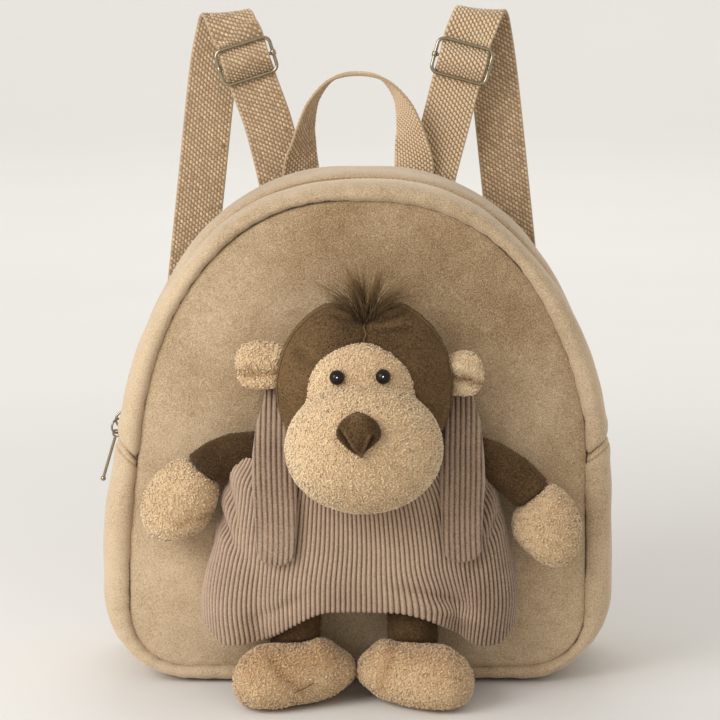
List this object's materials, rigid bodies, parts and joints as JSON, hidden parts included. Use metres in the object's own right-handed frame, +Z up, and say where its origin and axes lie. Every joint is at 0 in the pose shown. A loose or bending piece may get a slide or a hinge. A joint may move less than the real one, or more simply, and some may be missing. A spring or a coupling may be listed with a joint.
{
  "type": "plush animal backpack",
  "caption": "Small child's arched velour backpack with a padded rim, a zip round the top, webbing straps and a stuffed monkey in a corduroy dress sewn to its front.",
  "frame": {"origin": "on the surface that the bag stands on, at the middle of its flat base", "axes": "+Z up, the front with the monkey faces -Y, +X to the right as seen from the front"},
  "size_m": [0.2522, 0.199, 0.3273],
  "materials": {
    "velour": "short-pile tan velour, padded",
    "webbing": "woven tan webbing",
    "nickel": "polished nickel plate",
    "zip_tape": "tan zip tape with a nylon coil",
    "brown_plush": "short dark brown plush",
    "sherpa": "cream sherpa with small curls",
    "corduroy": "wide-rib taupe corduroy",
    "hair": "long dark brown pile",
    "eye_gloss": "glossy black dome"
  },
  "bodies": {
    "root": {"front_panel": "velour", "front_rim": "velour", "rear_band": "velour", "lower_gusset": "velour", "back_panel": "velour", "zip_chain": "zip_tape", "zip_slider": "nickel", "zip_pull_ring": "nickel", "zip_pull_bar": "nickel", "top_handle": "webbing", "strap_left": "webbing", "buckle_frame_left": "nickel", "buckle_bar_left": "nickel", "strap_right": "webbing", "buckle_frame_right": "nickel", "buckle_bar_right": "nickel", "head": "brown_plush", "face": "sherpa", "nose": "brown_plush", "eye_left": "eye_gloss", "eye_right": "eye_gloss", "ear_left": "sherpa", "ear_right": "sherpa", "hair_tuft": "hair", "torso": "brown_plush", "dress": "corduroy", "dress_strap_left": "corduroy", "dress_strap_right": "corduroy", "arm_left": "brown_plush", "arm_right": "brown_plush", "paw_left": "sherpa", "paw_right": "sherpa", "leg_left": "brown_plush", "leg_right": "brown_plush", "foot_left": "sherpa", "foot_right": "sherpa"}
  },
  "joints": []
}
